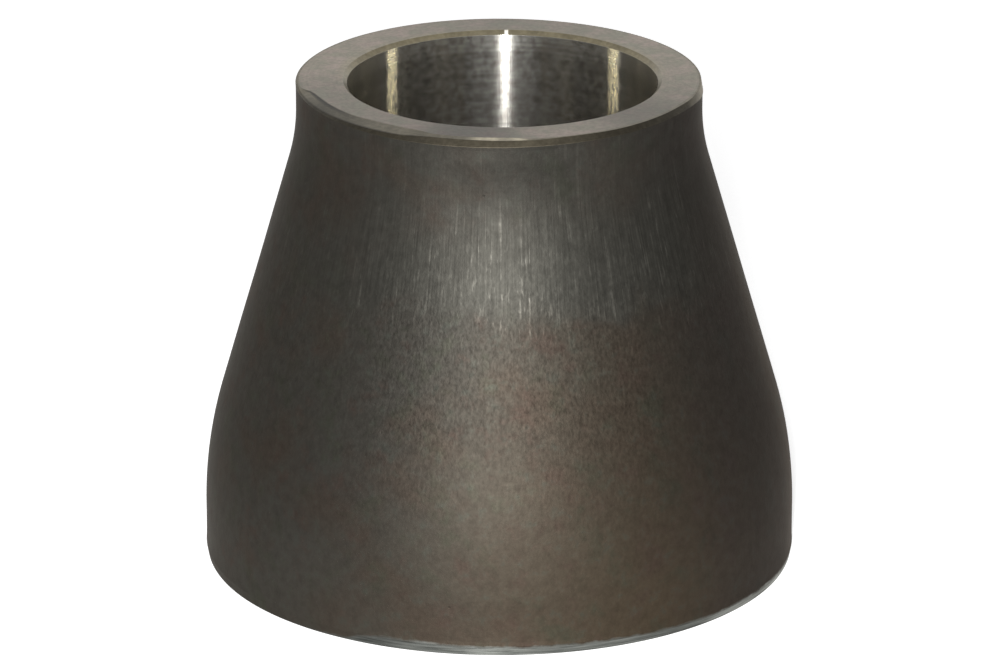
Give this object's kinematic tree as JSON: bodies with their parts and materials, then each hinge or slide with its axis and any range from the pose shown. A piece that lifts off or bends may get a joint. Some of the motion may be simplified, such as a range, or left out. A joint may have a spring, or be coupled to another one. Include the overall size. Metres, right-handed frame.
{
  "type": "pipe reducer",
  "caption": "Concentric butt-weld pipe reducer: a heavy bell-shaped steel fitting that narrows from a wide plain end to a smaller bored end.",
  "frame": {"origin": "centre of the large end's face, which the fitting stands on", "axes": "+Z along the pipe axis, from the large end up to the small end; X and Y are any two directions across it, because the fitting is round"},
  "size_m": [0.1683, 0.1682, 0.14],
  "materials": {
    "carbon_steel": "dark hot-formed skin, brushed and thinly oiled, with bare machined end faces and a smooth turned bore"
  },
  "bodies": {
    "root": {"reducer_body": "carbon_steel"}
  },
  "joints": []
}
